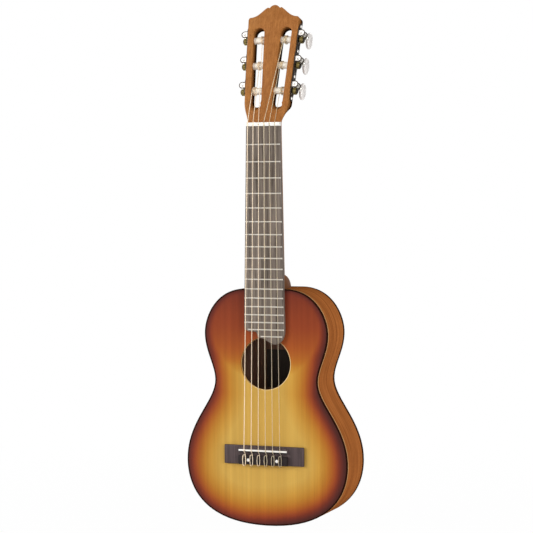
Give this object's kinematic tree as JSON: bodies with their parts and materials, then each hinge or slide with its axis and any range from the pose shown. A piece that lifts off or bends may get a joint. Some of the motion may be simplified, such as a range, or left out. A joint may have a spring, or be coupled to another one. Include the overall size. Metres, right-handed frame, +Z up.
{
  "type": "guitalele",
  "caption": "Small six-string nylon guitar with a waisted sunburst body, round sound hole, tie bridge and slotted headstock with geared tuners.",
  "frame": {"origin": "on the centre line in the plane of the soundboard's face, at the nut edge of the fingerboard, where a wall hanger's yoke holds the instrument under its headstock", "axes": "+Z up along the strings towards the headstock, -Y out of the soundboard's face, +X to the viewer's right (treble side)"},
  "size_m": [0.2292, 0.0853, 0.6985],
  "materials": {
    "sunburst_spruce": "semi-gloss lacquer over a sunburst stain",
    "body_wood": "satin red-brown",
    "inner_wood": "bare",
    "neck_wood": "satin orange-brown",
    "rosewood": "open-grained satin, with bright frets",
    "dark_rosewood": "satin",
    "binding": "black",
    "bone": "polished off-white",
    "nickel": "nickel plated",
    "brass": "machined",
    "roller_plastic": "cream",
    "pearl": "pearly",
    "nylon": "clear",
    "wound_string": "fine wire winding",
    "paper": "plain dark paper"
  },
  "bodies": {
    "instrument": {"soundboard": "sunburst_spruce", "back": "body_wood", "side_left": "body_wood", "side_right": "body_wood", "binding_top": "binding", "binding_back": "binding", "neck_block": "inner_wood", "end_block": "inner_wood", "soundboard_brace_upper": "inner_wood", "soundboard_brace_lower": "inner_wood", "back_brace_upper": "inner_wood", "back_brace_lower": "inner_wood", "bridge_plate": "inner_wood", "label": "paper", "neck": "neck_wood", "headstock": "neck_wood", "fingerboard": "rosewood", "nut": "bone", "bridge": "dark_rosewood", "saddle": "bone", "bridge_bolt_left": "bone", "bridge_bolt_right": "bone", "tuner_plate_left": "nickel", "tuner_plate_right": "nickel", "string_1": "nylon", "string_2": "nylon", "string_3": "nylon", "string_4": "wound_string", "string_5": "wound_string", "string_6": "wound_string"},
    "key_1": {"tuner_worm_1": "nickel", "tuner_button_1": "pearl"},
    "roller_1": {"tuner_roller_1": "roller_plastic", "tuner_gear_1": "brass", "string_1_winding": "nylon"},
    "key_2": {"tuner_worm_2": "nickel", "tuner_button_2": "pearl"},
    "roller_2": {"tuner_roller_2": "roller_plastic", "tuner_gear_2": "brass", "string_2_winding": "nylon"},
    "key_3": {"tuner_worm_3": "nickel", "tuner_button_3": "pearl"},
    "roller_3": {"tuner_roller_3": "roller_plastic", "tuner_gear_3": "brass", "string_3_winding": "nylon"},
    "key_4": {"tuner_worm_4": "nickel", "tuner_button_4": "pearl"},
    "roller_4": {"tuner_roller_4": "roller_plastic", "tuner_gear_4": "brass", "string_4_winding": "wound_string"},
    "key_5": {"tuner_worm_5": "nickel", "tuner_button_5": "pearl"},
    "roller_5": {"tuner_roller_5": "roller_plastic", "tuner_gear_5": "brass", "string_5_winding": "wound_string"},
    "key_6": {"tuner_worm_6": "nickel", "tuner_button_6": "pearl"},
    "roller_6": {"tuner_roller_6": "roller_plastic", "tuner_gear_6": "brass", "string_6_winding": "wound_string"}
  },
  "joints": [
    {"name": "key_turn_1", "type": "hinge", "parent": "instrument", "child": "key_1", "pos_m": [0.03722, 0.02132, 0.05366], "axis": [0, -0.9659, 0.2588], "continuous": true},
    {"name": "roller_turn_1", "type": "hinge", "parent": "instrument", "child": "roller_1", "pos_m": [0.03178, 0.0194, 0.04649], "axis": [-0.999, 0.0117, 0.0436], "continuous": true},
    {"name": "key_turn_2", "type": "hinge", "parent": "instrument", "child": "key_2", "pos_m": [0.03883, 0.03056, 0.08814], "axis": [0, -0.9659, 0.2588], "continuous": true},
    {"name": "roller_turn_2", "type": "hinge", "parent": "instrument", "child": "roller_2", "pos_m": [0.03339, 0.02864, 0.08098], "axis": [-0.999, 0.0117, 0.0436], "continuous": true},
    {"name": "key_turn_3", "type": "hinge", "parent": "instrument", "child": "key_3", "pos_m": [0.04044, 0.0398, 0.12263], "axis": [0, -0.9659, 0.2588], "continuous": true},
    {"name": "roller_turn_3", "type": "hinge", "parent": "instrument", "child": "roller_3", "pos_m": [0.035, 0.03788, 0.11546], "axis": [-0.999, 0.0117, 0.0436], "continuous": true},
    {"name": "key_turn_4", "type": "hinge", "parent": "instrument", "child": "key_4", "pos_m": [-0.04044, 0.0398, 0.12263], "axis": [0, -0.9659, 0.2588], "continuous": true},
    {"name": "roller_turn_4", "type": "hinge", "parent": "instrument", "child": "roller_4", "pos_m": [-0.035, 0.03788, 0.11546], "axis": [-0.999, -0.0117, -0.0436], "continuous": true},
    {"name": "key_turn_5", "type": "hinge", "parent": "instrument", "child": "key_5", "pos_m": [-0.03883, 0.03056, 0.08814], "axis": [0, -0.9659, 0.2588], "continuous": true},
    {"name": "roller_turn_5", "type": "hinge", "parent": "instrument", "child": "roller_5", "pos_m": [-0.03339, 0.02864, 0.08098], "axis": [-0.999, -0.0117, -0.0436], "continuous": true},
    {"name": "key_turn_6", "type": "hinge", "parent": "instrument", "child": "key_6", "pos_m": [-0.03722, 0.02132, 0.05366], "axis": [0, -0.9659, 0.2588], "continuous": true},
    {"name": "roller_turn_6", "type": "hinge", "parent": "instrument", "child": "roller_6", "pos_m": [-0.03178, 0.0194, 0.04649], "axis": [-0.999, -0.0117, -0.0436], "continuous": true}
  ],
  "couplings": [
    {"joint": "roller_turn_1", "follows": "key_turn_1", "ratio": 0.071429},
    {"joint": "roller_turn_2", "follows": "key_turn_2", "ratio": 0.071429},
    {"joint": "roller_turn_3", "follows": "key_turn_3", "ratio": 0.071429},
    {"joint": "roller_turn_4", "follows": "key_turn_4", "ratio": 0.071429},
    {"joint": "roller_turn_5", "follows": "key_turn_5", "ratio": 0.071429},
    {"joint": "roller_turn_6", "follows": "key_turn_6", "ratio": 0.071429}
  ]
}
